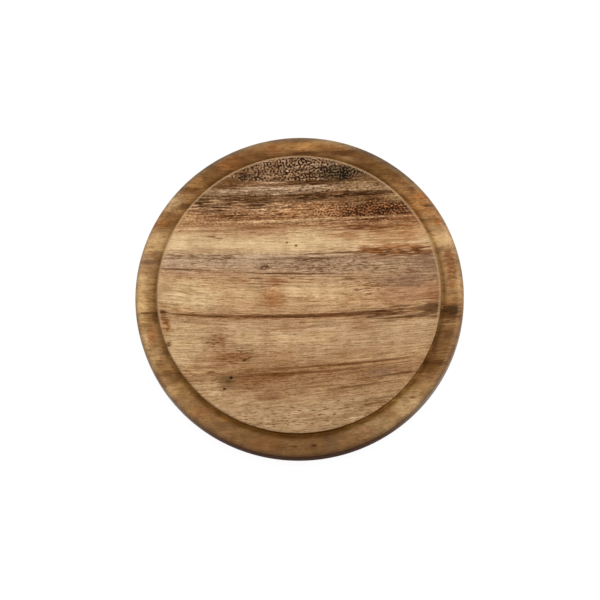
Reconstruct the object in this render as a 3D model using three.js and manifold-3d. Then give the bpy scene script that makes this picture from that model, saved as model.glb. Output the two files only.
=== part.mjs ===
// Round bread board: sawn hardwood staves glued edge to edge, then turned as one blank.
// A flat cutting disc stands proud of a lower rim that catches the crumbs.
// Millimetres, +Z up. The origin is the centre of the underside, which rests on the table.
// The staves run along X, and the joints between them lie across Y.
import * as THREE from "three";
import { mergeVertices } from "three/addons/utils/BufferGeometryUtils.js";
import Module from "manifold-3d";

// Driving dimensions of the turned blank
const BOARD_DIAMETER = 250;
const BOARD_THICKNESS = 25;
const DISC_DIAMETER = 216;
const DISC_RISE = 7.5; // from the rim's top up to the disc's face
const DISC_EDGE_ROUND = 1.6; // eased edge of the disc
const STEP_COVE = 1.8; // hollow round at the foot of the step
const RIM_TOP_ROUND = 4.5; // outer edge, above
const BASE_EDGE_ROUND = 1.5; // outer edge, below

// Driving dimensions of the glue-up, front to back. The two edge staves take what is left.
const FRONT_JOINT_SETBACK = 80; // from the board's centre line forward to the first joint
const FRONT_STAVE_WIDTH = 59;
const CENTRE_FRONT_STAVE_WIDTH = 34;
const CENTRE_BACK_STAVE_WIDTH = 40;
const BACK_STAVE_WIDTH = 35;
const SAWN_ALLOWANCE = 5; // extra length, width and thickness that the lathe takes off the blank

// Smoothness of the turned surfaces
const TURN_STEPS = 96;
const ARC_STEPS = 3;

// Colours read from the photograph's wood, one for each stave
const OILED_ROUGHNESS = 0.55;
const FRONT_EDGE_TAN = 0xae8a5e;
const FRONT_TAN = 0xb58d62;
const HONEY = 0xbd9463;
const PALE_SAPWOOD = 0xc4a173;
const STREAKED_BROWN = 0x8a6848;
const DARK_FIGURE = 0x6f5238;

const wasm = await Module();
wasm.setup();

// A closed three.js geometry as a solid that can be cut.
function solidFrom(geometry) {
  const bare = geometry.clone();
  bare.deleteAttribute("normal");
  bare.deleteAttribute("uv");
  const merged = mergeVertices(bare);
  const corners = merged.index.array;
  const kept = [];
  for (let i = 0; i < corners.length; i += 3) {
    const [a, b, c] = corners.slice(i, i + 3);
    if (a !== b && b !== c && c !== a) kept.push(a, b, c);
  }
  return new wasm.Manifold(
    new wasm.Mesh({
      numProp: 3,
      vertProperties: merged.attributes.position.array,
      triVerts: new Uint32Array(kept),
    }),
  );
}

// A solid's surface as a three.js geometry.
function geometryFrom(solid) {
  const mesh = solid.getMesh();
  const geometry = new THREE.BufferGeometry();
  geometry.setAttribute("position", new THREE.BufferAttribute(mesh.vertProperties, 3));
  geometry.setIndex(new THREE.BufferAttribute(mesh.triVerts, 1));
  geometry.computeVertexNormals();
  return geometry;
}

// The turner's profile, radius against height, from the middle of the underside
// out round the edge, in over the rim, up the step and across the disc to the axis.
function turnedProfile() {
  const edge = BOARD_DIAMETER / 2;
  const disc = DISC_DIAMETER / 2;
  const rimTop = BOARD_THICKNESS - DISC_RISE;
  const quarter = Math.PI / 2;
  const profile = new THREE.Path();
  profile.moveTo(0, 0);
  profile.lineTo(edge - BASE_EDGE_ROUND, 0);
  profile.absarc(edge - BASE_EDGE_ROUND, BASE_EDGE_ROUND, BASE_EDGE_ROUND, -quarter, 0);
  profile.lineTo(edge, rimTop - RIM_TOP_ROUND);
  profile.absarc(edge - RIM_TOP_ROUND, rimTop - RIM_TOP_ROUND, RIM_TOP_ROUND, 0, quarter);
  profile.lineTo(disc + STEP_COVE, rimTop);
  profile.absarc(disc + STEP_COVE, rimTop + STEP_COVE, STEP_COVE, 3 * quarter, 2 * quarter, true);
  profile.lineTo(disc, BOARD_THICKNESS - DISC_EDGE_ROUND);
  profile.absarc(
    disc - DISC_EDGE_ROUND,
    BOARD_THICKNESS - DISC_EDGE_ROUND,
    DISC_EDGE_ROUND,
    0,
    quarter,
  );
  profile.lineTo(0, BOARD_THICKNESS);
  return profile.getPoints(ARC_STEPS);
}

// The whole board as the lathe leaves it, with its axis on Z.
function turnedBlank() {
  const blank = new THREE.LatheGeometry(turnedProfile(), TURN_STEPS);
  blank.rotateX(Math.PI / 2);
  return solidFrom(blank);
}

// One rough stave of the glue-up between two joint planes, before turning.
function sawnStave(front, back) {
  const length = BOARD_DIAMETER + SAWN_ALLOWANCE;
  const thickness = BOARD_THICKNESS + SAWN_ALLOWANCE;
  const stave = new THREE.BoxGeometry(length, back - front, thickness);
  stave.translate(0, (front + back) / 2, BOARD_THICKNESS / 2);
  return solidFrom(stave);
}

// Joint planes from front to back, with the blank's rough edges at the two ends.
const roughEdge = (BOARD_DIAMETER + SAWN_ALLOWANCE) / 2;
const frontJoint = -FRONT_JOINT_SETBACK;
const centreFrontJoint = frontJoint + FRONT_STAVE_WIDTH;
const centreBackJoint = centreFrontJoint + CENTRE_FRONT_STAVE_WIDTH;
const backJoint = centreBackJoint + CENTRE_BACK_STAVE_WIDTH;
const backEdgeJoint = backJoint + BACK_STAVE_WIDTH;

const staves = [
  { name: "front_edge_stave", front: -roughEdge, back: frontJoint, colour: FRONT_EDGE_TAN },
  { name: "front_stave", front: frontJoint, back: centreFrontJoint, colour: FRONT_TAN },
  { name: "centre_front_stave", front: centreFrontJoint, back: centreBackJoint, colour: HONEY },
  { name: "centre_back_stave", front: centreBackJoint, back: backJoint, colour: PALE_SAPWOOD },
  { name: "back_stave", front: backJoint, back: backEdgeJoint, colour: STREAKED_BROWN },
  { name: "back_edge_stave", front: backEdgeJoint, back: roughEdge, colour: DARK_FIGURE },
];

const board = new THREE.Group();
const blank = turnedBlank();
for (const { name, front, back, colour } of staves) {
  const turnedStave = blank.intersect(sawnStave(front, back));
  const finish = new THREE.MeshStandardMaterial({
    color: colour,
    roughness: OILED_ROUGHNESS,
    metalness: 0,
  });
  const mesh = new THREE.Mesh(geometryFrom(turnedStave), finish);
  mesh.name = name;
  board.add(mesh);
}

export default board;
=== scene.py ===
# %% [markdown]
# # A turned bread board
#
# The real board is a round blank of figured hardwood staves, glued edge to edge and turned on a
# lathe, so that a flat disc stands a few millimetres above a lower rim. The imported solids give
# every size. This lesson adds what the lathe, the sandpaper and the oil add: smooth rounds,
# grain and a low sheen.

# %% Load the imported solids
import math

import bmesh
import bpy
import numpy as np
from mathutils import Matrix, Vector


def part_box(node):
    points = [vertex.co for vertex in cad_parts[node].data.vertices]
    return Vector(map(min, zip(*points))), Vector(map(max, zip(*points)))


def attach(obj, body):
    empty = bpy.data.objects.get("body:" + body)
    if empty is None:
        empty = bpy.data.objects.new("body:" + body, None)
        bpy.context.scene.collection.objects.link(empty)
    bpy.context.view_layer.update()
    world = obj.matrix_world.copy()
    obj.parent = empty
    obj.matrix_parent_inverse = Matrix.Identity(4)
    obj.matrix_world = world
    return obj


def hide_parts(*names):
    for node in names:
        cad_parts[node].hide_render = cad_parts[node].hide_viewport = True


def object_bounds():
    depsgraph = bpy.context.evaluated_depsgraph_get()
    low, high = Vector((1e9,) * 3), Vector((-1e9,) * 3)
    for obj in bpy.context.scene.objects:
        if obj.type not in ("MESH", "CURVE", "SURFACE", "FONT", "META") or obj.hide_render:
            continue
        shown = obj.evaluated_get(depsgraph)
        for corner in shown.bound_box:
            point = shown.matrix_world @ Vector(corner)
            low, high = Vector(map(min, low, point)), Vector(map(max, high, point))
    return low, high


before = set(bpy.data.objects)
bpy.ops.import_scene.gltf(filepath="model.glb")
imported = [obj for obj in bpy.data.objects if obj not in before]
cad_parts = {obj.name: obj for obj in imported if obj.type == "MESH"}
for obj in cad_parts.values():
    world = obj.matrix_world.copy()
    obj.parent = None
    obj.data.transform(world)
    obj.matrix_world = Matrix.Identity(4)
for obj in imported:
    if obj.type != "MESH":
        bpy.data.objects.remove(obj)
cad_box = [list(corner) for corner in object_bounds()]
print("CAD box in metres:", cad_box)

# %% [markdown]
# ## Camera
#
# The photograph looks steeply down on the board from its front edge, from far away and a little
# to the right. The outlines of the outer edge and of the raised disc are two ellipses, and only
# one height, lean and lens give both. The picture's upward direction is the board's own Y, so
# the three camera axes are worked out with cross products.

# %% Camera at the photograph's angle
LOOK_DOWN = math.radians(76.51)
LEAN = math.radians(9.4)
CAMERA_DISTANCE = 3.0
LENS = 235.7
AIM = Vector((0.0, 0.0003, 0.0))

scene = bpy.context.scene
camera_data = bpy.data.cameras.new("photo_camera")
camera_data.lens = LENS
camera = bpy.data.objects.new("photo_camera", camera_data)
scene.collection.objects.link(camera)
level = math.cos(LOOK_DOWN)
backward = Vector((level * math.sin(LEAN), -level * math.cos(LEAN), math.sin(LOOK_DOWN)))
rightward = Vector((0.0, 1.0, 0.0)).cross(backward).normalized()
upward = backward.cross(rightward)
camera.location = AIM + backward * CAMERA_DISTANCE
camera.rotation_euler = Matrix((rightward, upward, backward)).transposed().to_euler()
scene.camera = camera
print("camera at", [round(v, 3) for v in camera.location])

# %% [markdown]
# ## Small helpers for shader nodes
#
# Every finish below is a chain of nodes, and a few helpers keep the chains short to read. All of
# them work on the tree at hand. The first ones place a node and fill its inputs. The next ones do
# arithmetic, ease a number from 0 to 1, make noise and lay one colour over another. The last ones
# start, finish and place a group with named sockets, so that one effect serves many materials.

# %% Node helpers
tree = None  # the tree at hand


def fill(node, values):
    """Gives each named or numbered input of a node a value or a link."""
    for key, value in values.items() if isinstance(values, dict) else enumerate(values):
        if isinstance(value, bpy.types.NodeSocket):
            tree.links.new(value, node.inputs[key])
        else:
            node.inputs[key].default_value = value


def place(kind, values=(), **settings):
    """Adds a node, sets its properties and fills its inputs."""
    node = tree.nodes.new("ShaderNode" + kind)
    for key, value in settings.items():
        setattr(node, key, value)
    fill(node, values)
    return node


def sums(how, *values, clamp=False):
    """The result of one arithmetic node."""
    return place("Math", values, operation=how, use_clamp=clamp).outputs[0]


def times(value, *factors):
    """A number times one or more others."""
    for factor in factors:
        value = sums("MULTIPLY", value, factor)
    return value


def line_of(value, slope, start, clamp=False):
    """A straight line: value times slope plus start."""
    return sums("MULTIPLY_ADD", value, slope, start, clamp=clamp)


def vectors(how, *values):
    """The result of one vector arithmetic node, a number for LENGTH and a vector otherwise."""
    node = place("VectorMath", values, operation=how)
    return node.outputs["Value" if how == "LENGTH" else "Vector"]


def scaled(vector, scale):
    """A vector times a number."""
    node = place("VectorMath", {0: vector, "Scale": scale}, operation="SCALE")
    return node.outputs["Vector"]


def joined(*numbers):
    """Three numbers as a vector."""
    return place("CombineXYZ", numbers).outputs[0]


def ease(value, low, high):
    """0 below low, 1 above high, with a soft S between. low may be above high."""
    settings = {"Value": value, "From Min": low, "From Max": high}
    return place("MapRange", settings, interpolation_type="SMOOTHSTEP").outputs["Result"]


def noise(spot, detail, scale=1.0, rough=0.5):
    """Soft noise that swings about 0.5."""
    settings = {"Vector": spot, "Scale": scale, "Detail": detail, "Roughness": rough}
    return place("TexNoise", settings).outputs["Fac"]


def lay(factor, under, over, how="MIX"):
    """One colour laid over another."""
    node = place("Mix", {0: factor, 6: under, 7: over}, data_type="RGBA", blend_type=how)
    return node.outputs[2]


def named_group(name, **inputs):
    """Starts a group with named inputs, as the tree at hand. Gives the input sockets."""
    global tree
    tree = bpy.data.node_groups.new(name, "ShaderNodeTree")
    for label, default in inputs.items():
        kind = "NodeSocketVector" if isinstance(default, tuple) else "NodeSocketFloat"
        tree.interface.new_socket(label, in_out="INPUT", socket_type=kind).default_value = default
    return tree.nodes.new("NodeGroupInput").outputs


def give(**results):
    """Finishes the group at hand: one named output for each result."""
    results = {key.replace("_", " "): value for key, value in results.items()}
    kinds = {"VALUE": "Float", "VECTOR": "Vector", "RGBA": "Color"}
    for label, value in results.items():
        kind = "NodeSocket" + kinds[value.type]
        tree.interface.new_socket(label, in_out="OUTPUT", socket_type=kind)
    fill(tree.nodes.new("NodeGroupOutput"), results)
    print("group:", tree.name, "gives", ", ".join(results))
    return tree


def use(group, **values):
    """Places a group, with its inputs given by name, and gives its outputs."""
    node = place("Group", node_tree=group)
    fill(node, values)
    return node.outputs


# %% [markdown]
# ## Light and floor
#
# The photograph is a plain studio picture: soft light from everywhere, more of it from behind the
# board, a broad lamp high on that side, and a white ground. The lamp and the sky together give a
# level face its own written colour. The ground looks white to the camera, but it still takes the
# board's shadow.

# %% Sky, lamp and floor
SKY_SHARE = 0.6
LAMP_SHARE = 0.4
SKY_SLOPE = 0.6
BRIGHT_SIDE = (0.25, 0.97, 0.0)
LAMP_PLACE = Vector((0.12, 0.42, 1.25))
LAMP_WIDTH = 0.9
WHITE = (1.0, 1.0, 1.0, 1.0)
SHADED_GROUND = (0.12, 0.12, 0.12, 1.0)
BOUNCING_GROUND = (0.22, 0.22, 0.22, 1.0)
GROUND_GLOW = 0.94
FLOOR_HALF = 2.0
FLOOR_DROP = 0.0002

scene.view_settings.view_transform = "Standard"


def seen_directly():
    """1 for rays that show the background itself: camera, mirror-like and see-through rays."""
    path = place("LightPath").outputs
    mirror = sums("MAXIMUM", path["Is Camera Ray"], path["Is Glossy Ray"])
    return sums("MAXIMUM", mirror, path["Is Transmission Ray"])


sky = bpy.data.worlds.new("studio_sky")
sky.use_nodes = True
tree = sky.node_tree
direct = seen_directly()
towards = place("TexCoord").outputs["Generated"]
dot = place("VectorMath", [towards, BRIGHT_SIDE], operation="DOT_PRODUCT")
soft = line_of(dot.outputs["Value"], SKY_SHARE * SKY_SLOPE, SKY_SHARE)
strength = place("Mix", {0: direct, 2: soft, 3: 1.0}).outputs[0]
fill(tree.nodes["Background"], {"Color": WHITE, "Strength": strength})
scene.world = sky

lamp_data = bpy.data.lights.new("broad_lamp", "AREA")
lamp_data.shape = "DISK"
lamp_data.size = LAMP_WIDTH
reach = LAMP_PLACE.length
lamp_data.energy = LAMP_SHARE * math.pi ** 2 * reach ** 2 / (LAMP_PLACE.z / reach)
lamp = bpy.data.objects.new("broad_lamp", lamp_data)
lamp.location = LAMP_PLACE
lamp.rotation_euler = (-LAMP_PLACE).to_track_quat("-Z", "Y").to_euler()
scene.collection.objects.link(lamp)

floor_finish = bpy.data.materials.new("white_ground")
floor_finish.use_nodes = True
tree = floor_finish.node_tree
tree.nodes.clear()
ground = place("BsdfDiffuse", {"Color": SHADED_GROUND})
glow = place("Emission", {"Color": WHITE, "Strength": GROUND_GLOW})
shown = place("AddShader", [ground.outputs[0], glow.outputs[0]])
plain = place("BsdfDiffuse", {"Color": BOUNCING_GROUND})
pick = place("MixShader", [seen_directly(), plain.outputs[0], shown.outputs[0]])
place("OutputMaterial", {"Surface": pick.outputs[0]})

floor_mesh = bpy.data.meshes.new("floor")
corners = np.array([[-1, -1, 0], [1, -1, 0], [1, 1, 0], [-1, 1, 0]]) * FLOOR_HALF
floor_mesh.from_pydata((corners - [0, 0, FLOOR_DROP]).tolist(), [], [(0, 1, 2, 3)])
floor_mesh.materials.append(floor_finish)
floor = bpy.data.objects.new("floor", floor_mesh)
scene.collection.objects.link(floor)
print("lamp energy:", round(lamp_data.energy, 2), "W")

# %% [markdown]
# ## The turned profile
#
# A turner cuts the whole board with one profile: level across the disc, over an eased edge, down
# the step into a cove, out along the rim, round the outer edge and back under. The solids have
# the same profile with a few flats on each round. Here each round is cut fine enough for smooth
# light to run along it, and a guard ring beside each round keeps the flats truly flat.

# %% Profile of the lathe cut, radius against height
OUTER = cad_box[1][0]
THICK = cad_box[1][2]
DISC = 0.108
RISE = 0.0075
DISC_EASE = 0.0016
COVE = 0.0018
RIM_ROUND = 0.0045
BASE_EASE = 0.0015
GUARD = 0.00015
FLAT_STEPS, RIM_STEPS = 26, 4
EASE_STEPS, COVE_STEPS, ROUND_STEPS = 8, 10, 16
PLACES = 6  # decimals of a joint plane's place
SIDES = {round(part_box(node)[side].y, PLACES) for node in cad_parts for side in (0, 1)}
JOINTS = sorted(SIDES)[1:-1]


def arc(radius_at, height_at, radius, start, end, steps):
    """Points of an arc: centre plus radius times cosine and sine, from start to end degrees."""
    turn = np.radians(np.linspace(start, end, steps + 1))
    return np.stack([radius_at + radius * np.cos(turn), height_at + radius * np.sin(turn)], 1)


def level_run(start, end, height, steps):
    """A level stretch with a ring at every glue joint it crosses and a guard ring at each end."""
    low, high = min(start, end), max(start, end)
    rings = np.linspace(low, high, steps + 1)
    joints = [abs(j) for j in JOINTS if low < abs(j) < high]
    guards = [low + GUARD, high - GUARD]
    rings = np.unique(np.concatenate([rings, joints, guards]).round(PLACES + 1))
    rings = rings if end > start else rings[::-1]
    return np.stack([rings, np.full(len(rings), height)], 1)


def turned_profile():
    """From the disc's middle out over the step and rim, round the edge, to the middle below."""
    rim = THICK - RISE
    return np.concatenate([
        level_run(0.0, DISC - DISC_EASE, THICK, FLAT_STEPS),
        arc(DISC - DISC_EASE, THICK - DISC_EASE, DISC_EASE, 90, 0, EASE_STEPS)[1:],
        arc(DISC + COVE, rim + COVE, COVE, 180, 270, COVE_STEPS),
        level_run(DISC + COVE, OUTER - RIM_ROUND, rim, RIM_STEPS)[1:],
        arc(OUTER - RIM_ROUND, rim - RIM_ROUND, RIM_ROUND, 90, 0, ROUND_STEPS)[1:],
        arc(OUTER - BASE_EASE, BASE_EASE, BASE_EASE, 0, -90, EASE_STEPS),
        level_run(OUTER - BASE_EASE, 0.0, 0.0, FLAT_STEPS)[1:],
    ])


PROFILE = turned_profile()
print("profile rings:", len(PROFILE), "joints at", [round(j * 1000, 1) for j in JOINTS], "mm")

# %% [markdown]
# ## One stave of the turned blank
#
# A stave is the part of the turned shape between two straight joint planes. Each ring of the
# profile crosses it in a right and a left arc, so the stave is a grid of rings by arc steps, with
# a flat glue face on each joint plane.

# %% Stave surfaces
ARC_STEPS = 48
WELD = 1e-7  # points closer than this become one
SPECK = 1e-8  # edges shorter than this are dropped
PIN = 1e-9  # smallest radius, so that nothing is divided by nought
CREASE = math.radians(40)


def stave_surface(front, back):
    """Grid point (k, t): ring k's radius at the angle between the two joint planes.

    The angle runs from arcsin(front / radius) to arcsin(back / radius) as t goes from 0 to 1.
    The left half is the mirror image. Rings too small to reach the stave are left out.
    """
    nearest = max(front, -back, 0.0)
    rings = PROFILE[PROFILE[:, 0] >= nearest - WELD]
    radius = np.maximum(rings[:, :1], PIN)
    start = np.arcsin(np.clip(front / radius, -1, 1))
    end = np.arcsin(np.clip(back / radius, -1, 1))
    angle = start + (end - start) * np.linspace(0, 1, ARC_STEPS + 1)
    height = np.broadcast_to(rings[:, 1:], angle.shape)
    right = np.stack([radius * np.cos(angle), radius * np.sin(angle), height], -1)
    left = right * [-1, 1, 1]
    return rings, np.stack([right, left])


def stave_faces(rings, front, back):
    """Quads between neighbouring rings and arc steps, and one flat polygon for each glue face."""
    count = len(rings)
    grid = np.arange(2 * count * (ARC_STEPS + 1)).reshape(2, count, ARC_STEPS + 1)
    quads = [grid[:, :-1, :-1], grid[:, 1:, :-1], grid[:, 1:, 1:], grid[:, :-1, 1:]]
    faces = np.stack(quads, -1).reshape(-1, 4).tolist()
    for plane, step in ((front, 0), (back, ARC_STEPS)):
        if abs(plane) < OUTER - GUARD:
            reached = rings[:, 0] >= abs(plane) - WELD
            ring = np.concatenate([grid[0, reached, step], grid[1, reached, step][::-1]])
            faces.append(ring.tolist())
    return faces


def stave_piece(node):
    """The stave as an object: welded along its middle, faces outward, smooth but for corners."""
    low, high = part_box(node)
    front, back = round(low.y, PLACES), round(high.y, PLACES)
    rings, points = stave_surface(front, back)
    mesh = bpy.data.meshes.new(node + "_wood")
    mesh.from_pydata(points.reshape(-1, 3).tolist(), [], stave_faces(rings, front, back))
    work = bmesh.new()
    work.from_mesh(mesh)
    bmesh.ops.remove_doubles(work, verts=work.verts, dist=WELD)
    bmesh.ops.dissolve_degenerate(work, edges=work.edges, dist=SPECK)
    bmesh.ops.recalc_face_normals(work, faces=work.faces)
    open_edges = sum(not edge.is_manifold for edge in work.edges)
    work.to_mesh(mesh)
    work.free()
    mesh.shade_smooth()
    mesh.set_sharp_from_angle(angle=CREASE)
    piece = bpy.data.objects.new(node + "_wood", mesh)
    scene.collection.objects.link(piece)
    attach(piece, "root")
    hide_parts(node)
    print(node, len(mesh.polygons), "faces,", open_edges, "open edges")
    return piece


STAVES = {node: stave_piece(node) for node in sorted(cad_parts)}

# %% [markdown]
# ## Wood colours
#
# Colours are written as they look on a screen, two hexadecimal digits each for red, green and
# blue, and turned into the linear values that shaders use. A few that come back have names.

# %% Palette
def tone(screen):
    """Screen colour 0xRRGGBB as linear light: ((c + 0.055) / 1.055) to the power 2.4."""
    share = np.array([screen >> 16, screen >> 8 & 255, screen & 255]) / 255
    linear = np.where(share < 0.04045, share / 12.92, ((share + 0.055) / 1.055) ** 2.4)
    return (*linear.tolist(), 1.0)


PALE = 0xDAB989
HONEY = 0xCEAA7C
UMBER = 0x7A5434
DARK = 0x503622
# painted highlight tone for the disc's eased edge behind
EDGE_HIGHLIGHT_TONE = 0xBA956C
print("honey in linear light:", [round(v, 3) for v in tone(HONEY)])

# %% [markdown]
# ## The lie of the grain
#
# Fibres run along the stave, but never dead straight. This group turns a point on the piece into
# grain terms in millimetres: how far along the fibre, how far across it, and how deep below the
# disc's face. Rise, fan and bow bend the lines as seen from above. Tilt and cup lean the growth
# layers with depth, so the end grain shows slanting arcs and the underside differs from the face.
# The plain place, unbent, is a second output.

# %% Group: lie of the grain
MM = 1000.0
BEND_LENGTH = 100.0  # rise and bow are millimetres over this length
SWAY_STRETCH = (0.018, 0.06, 0.06)
SWAY_SWING = 4.0

given = named_group("Lie of the grain", Middle=0.0, Rise=0.0, Fan=0.0, Bow=0.0,
                    Tilt=0.0, Cup=0.0, Waver=0.6, Seed=0.0)
millimetres = vectors("MULTIPLY", place("TexCoord").outputs["Object"], (MM, MM, MM))
x, y, z = place("SeparateXYZ", [millimetres]).outputs
depth = sums("SUBTRACT", THICK * MM, z)
along = sums("DIVIDE", x, BEND_LENGTH)
slope = line_of(sums("SUBTRACT", y, given["Middle"]), given["Fan"], given["Rise"])
drop = times(line_of(given["Bow"], along, slope), along)
lean = times(line_of(given["Cup"], depth, given["Tilt"]), depth)
across = sums("ADD", sums("SUBTRACT", y, drop), lean)
shift = joined(given["Seed"], given["Seed"], given["Seed"])
broad = vectors("MULTIPLY_ADD", millimetres, SWAY_STRETCH, shift)
wave = line_of(noise(broad, 1.0), SWAY_SWING, -SWAY_SWING / 2)
across = sums("ADD", across, times(wave, given["Waver"]))
lie_group = give(Lie=joined(x, across, depth), Place=joined(x, y, depth))

# %% [markdown]
# ## Fibres, pores and growth lines
#
# Close up, the face is made of fibres of different density in long streaks and short dashes, of
# dark pores cut open by the sandpaper, and of thin late-growth lines. All are noise stretched
# along the fibre. The growth lines are the places where a stretched noise passes its middle value,
# which gives long thin loops like those on a sawn board. Only the mottle lies across the fibres,
# where the wood ripples and throws the light back unevenly.

# %% Group: fibres
FIBRES = {  # waves per millimetre along, across and down, detail, and the two ends of its ease
    "Broad": ((0.018, 0.26, 0.20), 2.0, 0.28, 0.72),
    "Streak": ((0.022, 1.00, 0.75), 3.0, 0.36, 0.76),
    "Dash": ((0.15, 1.15, 0.85), 2.0, 0.38, 0.78),
    "Speck": ((0.50, 1.10, 0.90), 1.0, 0.28, 0.72),
    "Warm": ((0.07, 0.17, 0.12), 3.0, 0.46, 0.74),
    "Tongue": ((0.055, 0.95, 0.70), 2.0, 0.22, 0.78),
    "Mottle": ((0.075, 0.045, 0.05), 2.0, 0.28, 0.72),
    "Cloud": ((0.10, 0.17, 0.12), 3.0, 0.28, 0.72),
}
FIBRE_ROUGH = 0.6
ORIGIN = (0.0, 0.0, 0.0)


def fibre_noise(lie, shift, stretch, detail, low, high):
    """Stretched noise, eased to 0 below low and 1 above high."""
    spot = vectors("MULTIPLY_ADD", lie, stretch, shift)
    return ease(noise(spot, detail, rough=FIBRE_ROUGH), low, high)


given = named_group("Fibres", Lie=ORIGIN, Seed=0.0)
shift = joined(given["Seed"], 3.0, given["Seed"])
fibre_group = give(**{
    label: fibre_noise(given["Lie"], shift, *kind) for label, kind in FIBRES.items()})

# %% Group: pores
PORE_STRETCH = (0.13, 0.75, 0.70)

given = named_group("Pores", Lie=ORIGIN, Amount=0.3, Seed=0.0)
shift = joined(given["Seed"], given["Seed"], 5.0)
spot = vectors("MULTIPLY_ADD", given["Lie"], PORE_STRETCH, shift)
cell = place("TexVoronoi", {"Vector": spot, "Scale": 1.0}).outputs
chance = place("SeparateColor", [cell["Color"]]).outputs[0]
size = times(chance, given["Amount"])
pore_group = give(Pore=ease(cell["Distance"], size, 0.0))

# %% Group: growth lines
LINE_STRETCH = (0.05, 1.0, 0.6)
MIDDLE = 0.5

given = named_group("Growth lines", Lie=ORIGIN, Spacing=5.0, Thin=0.03, Seed=0.0)
shift = joined(7.0, given["Seed"], given["Seed"])
even = vectors("MULTIPLY", given["Lie"], LINE_STRETCH)
spot = vectors("ADD", scaled(even, sums("DIVIDE", 1.0, given["Spacing"])), shift)
away = sums("ABSOLUTE", sums("SUBTRACT", noise(spot, 1.5), MIDDLE))
line_group = give(Line=ease(away, given["Thin"], 0.0))

# %% [markdown]
# ## Patches, short marks and curly figure
#
# Heartwood stain, rusty streaks, pin knots and dark lines all lie along the fibres and end in
# ragged tongues. One group serves them all: a soft ellipsoid in grain terms whose edge is pushed
# in and out by the fibres. A long thin one is a streak, a small one is a pin knot. Inside a patch
# the colour can be plain, broken into short marks, or drawn as curly figure, a wormy pattern that
# comes from a noise made of short waves in every direction.

# %% Group: patch
given = named_group("Patch", Lie=ORIGIN, Push=0.0, Centre=ORIGIN, Reach=(1.0, 1.0, 1.0),
                    Soft=0.6, Ragged=0.4)
away = vectors("SUBTRACT", given["Lie"], given["Centre"])
far = vectors("LENGTH", vectors("DIVIDE", away, given["Reach"]))
far = line_of(given["Push"], given["Ragged"], far)
inner = sums("SUBTRACT", 1.0, given["Soft"])
patch_group = give(Mask=ease(far, 1.0, inner))

# %% Group: short marks
MARK_EDGE = 0.08

given = named_group("Short marks", Lie=ORIGIN, Size=(6.0, 1.0, 1.0), Level=0.5, Seed=0.0)
shift = joined(given["Seed"], given["Seed"], 2.0)
spot = vectors("ADD", vectors("DIVIDE", given["Lie"], given["Size"]), shift)
full = sums("ADD", given["Level"], MARK_EDGE)
mark_group = give(Mark=ease(noise(spot, 1.0), given["Level"], full))

# %% Group: curly figure
WAVES = 1.3  # waves in one patch of the noise: more of them make straighter ripples
DRIFT_SCALE = 0.4
DRIFT_SHARE = 0.4
CURL_EDGE = (0.38, 0.62)

given = named_group("Curly figure", Lie=ORIGIN, Size=2.0, Balance=0.0, Seed=0.0)
shift = joined(given["Seed"], 1.0, given["Seed"])
scale = sums("DIVIDE", 1.0 / WAVES, given["Size"])
spot = vectors("ADD", scaled(given["Lie"], scale), shift)
settings = {"Vector": spot, "Scale": 1.0, "Frequency": WAVES, "Anisotropy": 0.0}
wave = place("TexGabor", settings, gabor_type="2D").outputs["Value"]
drift = sums("SUBTRACT", noise(spot, 1.0, DRIFT_SCALE), MIDDLE)
height = line_of(drift, DRIFT_SHARE, sums("SUBTRACT", wave, given["Balance"]))
curl_group = give(Curl=ease(height, *CURL_EDGE))

# %% Patches in plain words
def patch(x, y, long, wide, colour, strength=0.8, soft=0.6, ragged=1, deep=16, depth=0):
    """One patch: its middle and half lengths in millimetres along and across the grain."""
    form = dict(Centre=(x, y, depth), Reach=(long, wide, deep), Soft=soft, Ragged=ragged)
    return dict(form=form, colour=colour, strength=strength)


def streak(start, end, y, wide, colour, strength=0.85, soft=0.7, ragged=0.8, deep=16):
    """One long thin patch from start to end along the grain."""
    middle, half = (start + end) / 2, (end - start) / 2
    return patch(middle, y, half, wide, colour, strength, soft, ragged, deep)


def curl(x, y, long, wide, dark, light, size, balance, strength, **more):
    """One patch of curly figure, with its dark and light tones. More balance thins the light."""
    whole = patch(x, y, long, wide, dark, strength, **more)
    return dict(whole, light=light, curls=dict(Size=size, Balance=balance))


def broken(whole, run, girth, level):
    """A patch broken into short marks, each about run long and girth wide."""
    return dict(whole, marks=dict(Size=(run, girth, girth), Level=level))


def marks(x, y, long, wide, colour, run, girth, level, strength, **more):
    """One patch of short marks."""
    return broken(patch(x, y, long, wide, colour, strength, **more), run, girth, level)


def figured(lie, push, colour, figure, seed):
    """Lays the patches over a colour, one after another."""
    for count, item in enumerate(figure):
        form = item["form"]
        mask = use(patch_group, Lie=lie, Push=push, **form)["Mask"]
        grainy = line_of(push, form["Ragged"], 1.0)
        share = times(mask, item["strength"])
        factor = sums("MULTIPLY", share, grainy, clamp=True)
        over = tone(item["colour"])
        if "curls" in item:
            worm = use(curl_group, Lie=lie, Seed=seed, **item["curls"])["Curl"]
            over = lay(worm, over, tone(item["light"]))
        if "marks" in item:
            mark = use(mark_group, Lie=lie, Seed=seed + count, **item["marks"])["Mark"]
            factor = times(factor, mark)
        colour = lay(factor, colour, over)
    return colour


print("patch helpers ready")

# %% [markdown]
# ## Bands of colour and the wood below
#
# Across a board the colour changes in soft bands, as the saw passes from sapwood to heartwood. A
# colour ramp read across the grain does it, with edges pushed about by the fibres. The rim lies
# deeper in the wood than the disc, and has soaked up more oil. That deeper wood is one group for
# all staves, so that it runs on from stave to stave, with its own bands and patches. A patch on
# the rim is placed by its bearing from the right-hand end.

# %% Group: deeper wood
BAND_PUSH = 3.0
RIM_DEEP = 6


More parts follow.
